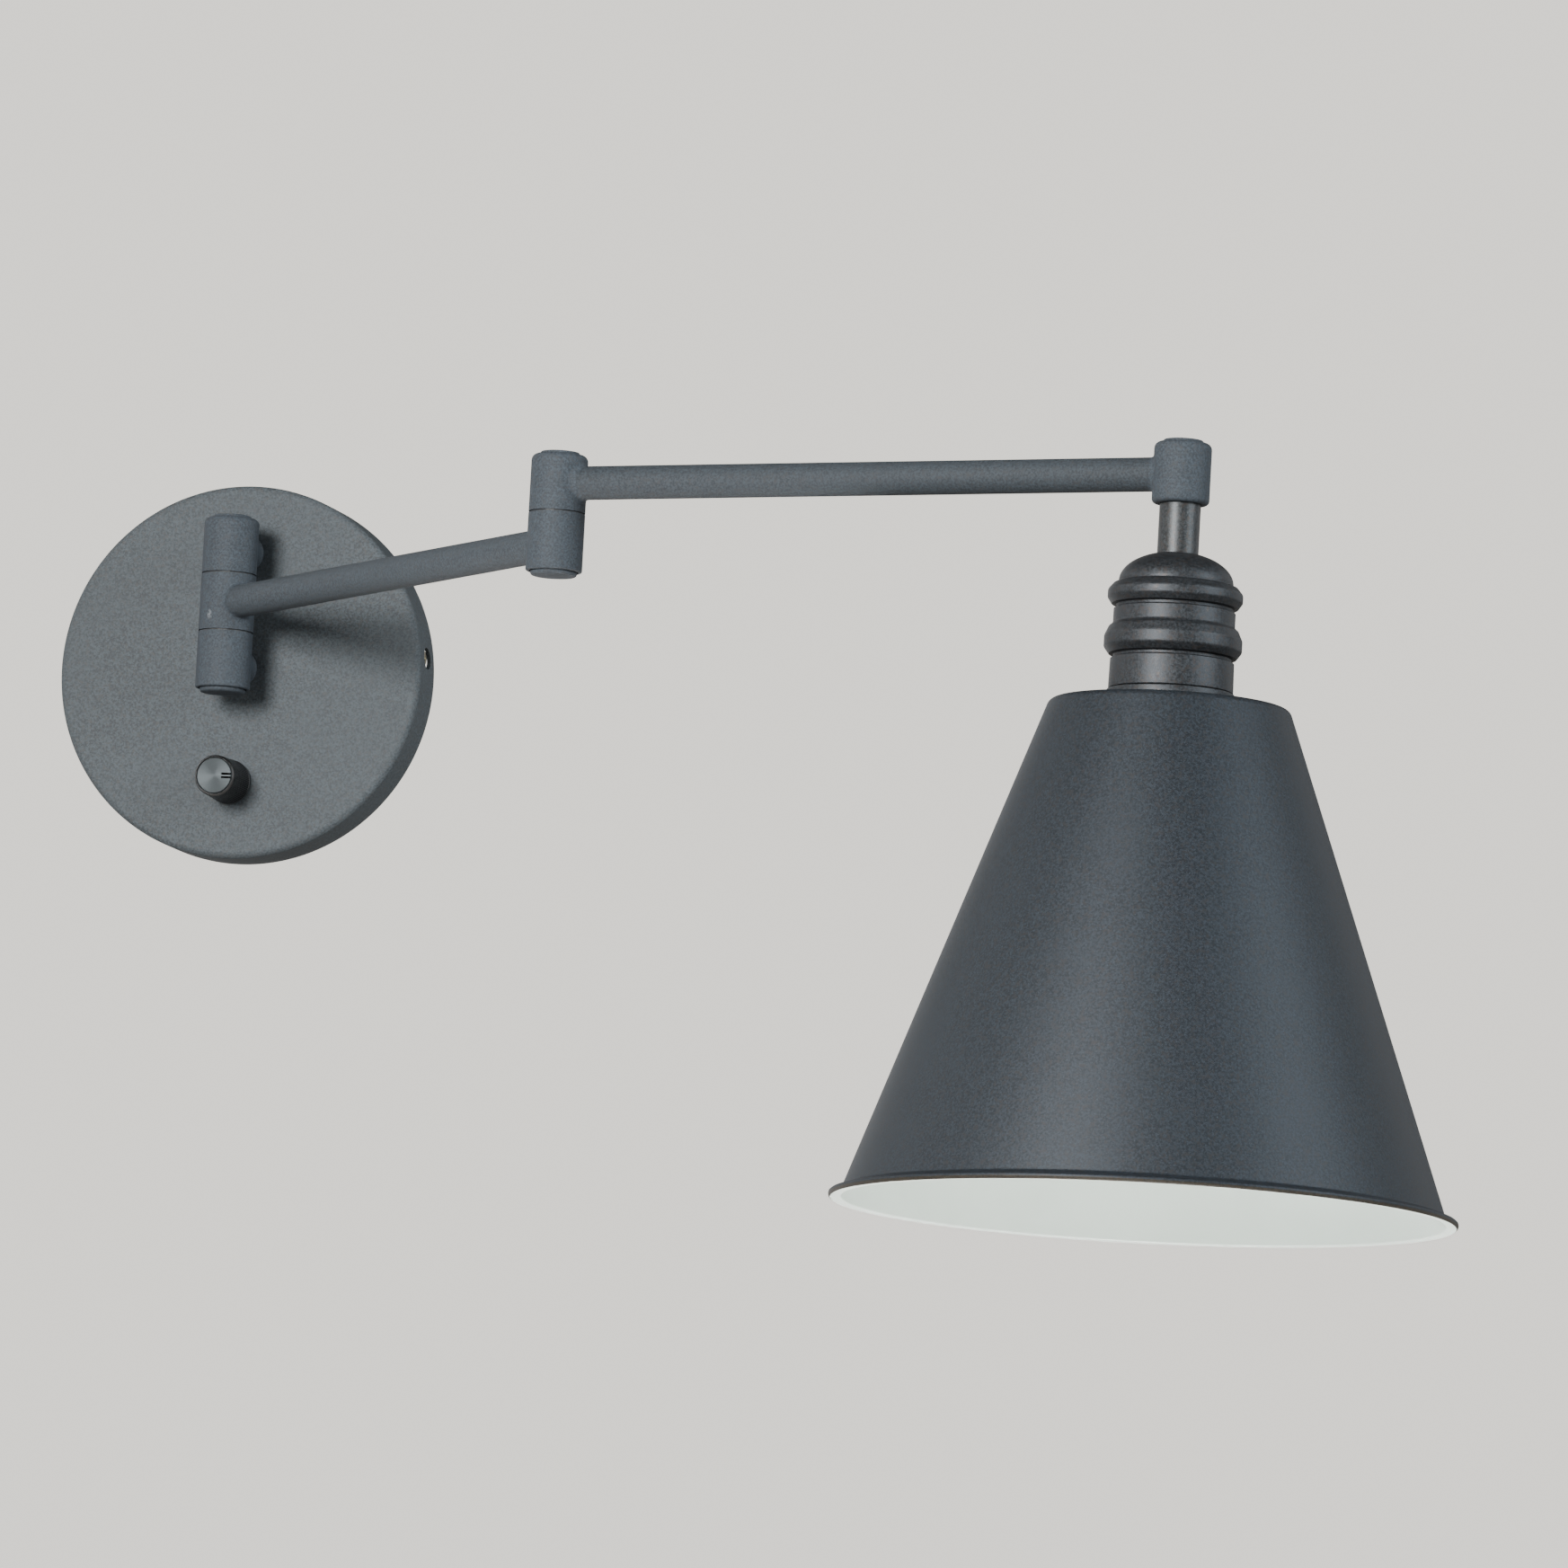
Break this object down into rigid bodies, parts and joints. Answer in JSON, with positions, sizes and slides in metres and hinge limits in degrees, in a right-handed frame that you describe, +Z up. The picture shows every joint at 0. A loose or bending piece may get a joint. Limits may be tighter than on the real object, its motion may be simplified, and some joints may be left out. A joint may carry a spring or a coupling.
{
  "type": "swing arm wall sconce",
  "caption": "Wall sconce with a round canopy, dimmer knob, two jointed swing arms and a hanging cone shade on a turned socket cup.",
  "frame": {"origin": "middle of the canopy's back, on the wall plane, where the mounting strap meets the wall", "axes": "+Z up, +Y into the wall, +X to the right along the wall, so the arms stand out towards -Y"},
  "size_m": [0.5116, 0.3174, 0.2461],
  "materials": {
    "charcoal_coat": "matte textured charcoal powder coat",
    "gunmetal": "satin dark gunmetal with a fine metallic speckle; the shade is white inside",
    "zinc_steel": "zinc plated",
    "brass": "plain turned brass",
    "earth_green": "green",
    "black_plastic": "moulded black, knurled on the knob",
    "spun_aluminium": "spun, dark grey",
    "nylon": "black nylon",
    "insulator": "unglazed",
    "lead_insulation": "black insulation"
  },
  "bodies": {
    "wall": {"canopy": "charcoal_coat", "mounting_strap": "zinc_steel", "canopy_screw_left": "zinc_steel", "canopy_screw_right": "zinc_steel", "earth_screw": "earth_green", "wall_lug_upper": "charcoal_coat", "wall_lug_lower": "charcoal_coat", "stud_nut_upper": "zinc_steel", "stud_nut_lower": "zinc_steel", "stud_washer_upper": "zinc_steel", "stud_washer_lower": "zinc_steel", "wall_pivot_tube": "brass", "wall_cap": "charcoal_coat", "wall_plug": "charcoal_coat", "wall_washer_upper": "nylon", "wall_washer_lower": "nylon", "dimmer_case": "black_plastic", "dimmer_nut": "zinc_steel", "canopy_lead": "lead_insulation", "dimmer_lead": "lead_insulation", "earth_lead": "earth_green", "wire_connector_left": "black_plastic", "wire_connector_right": "black_plastic", "wire_connector_earth": "black_plastic"},
    "knob": {"dimmer_shaft": "brass", "knob_body": "black_plastic", "knob_face": "spun_aluminium"},
    "arm_1": {"arm_1_lug": "charcoal_coat", "arm_1_tube": "charcoal_coat", "elbow_lug_lower": "charcoal_coat", "elbow_pivot_tube": "brass", "elbow_plug": "charcoal_coat", "elbow_cap": "charcoal_coat", "elbow_washer": "nylon", "arm_1_lead": "lead_insulation"},
    "arm_2": {"elbow_lug_upper": "charcoal_coat", "arm_2_tube": "charcoal_coat", "end_joint_body": "charcoal_coat", "end_joint_cap": "charcoal_coat", "arm_2_lead": "lead_insulation"},
    "shade_head": {"stem_tube": "gunmetal", "end_joint_nut": "brass", "end_joint_washer": "nylon", "cup_nut": "zinc_steel", "stem_lead": "lead_insulation", "socket_cup": "gunmetal", "cup_collar": "gunmetal", "lampholder_body": "black_plastic", "screw_shell": "brass", "contact_insulator": "insulator", "centre_contact": "brass", "shade_ring": "black_plastic", "shade": "gunmetal"}
  },
  "joints": [
    {"name": "wall_swivel", "type": "hinge", "parent": "wall", "child": "arm_1", "pos_m": [0, -0.0334, 0.0194], "axis": [0, 0, 1], "range_deg": [-135, 44]},
    {"name": "elbow_swivel", "type": "hinge", "parent": "arm_1", "child": "arm_2", "pos_m": [0.15024, -0.18155, 0.0287], "axis": [0, 0, 1], "range_deg": [-173, 106]},
    {"name": "shade_swivel", "type": "hinge", "parent": "arm_2", "child": "shade_head", "pos_m": [0.35715, -0.2229, 0.032], "axis": [0, 0, 1], "range_deg": [-170, 170]},
    {"name": "knob_turn", "type": "hinge", "parent": "wall", "child": "knob", "pos_m": [-0.001, -0.0302, -0.0357], "axis": [0, -1, 0], "range_deg": [-60, 240]}
  ]
}
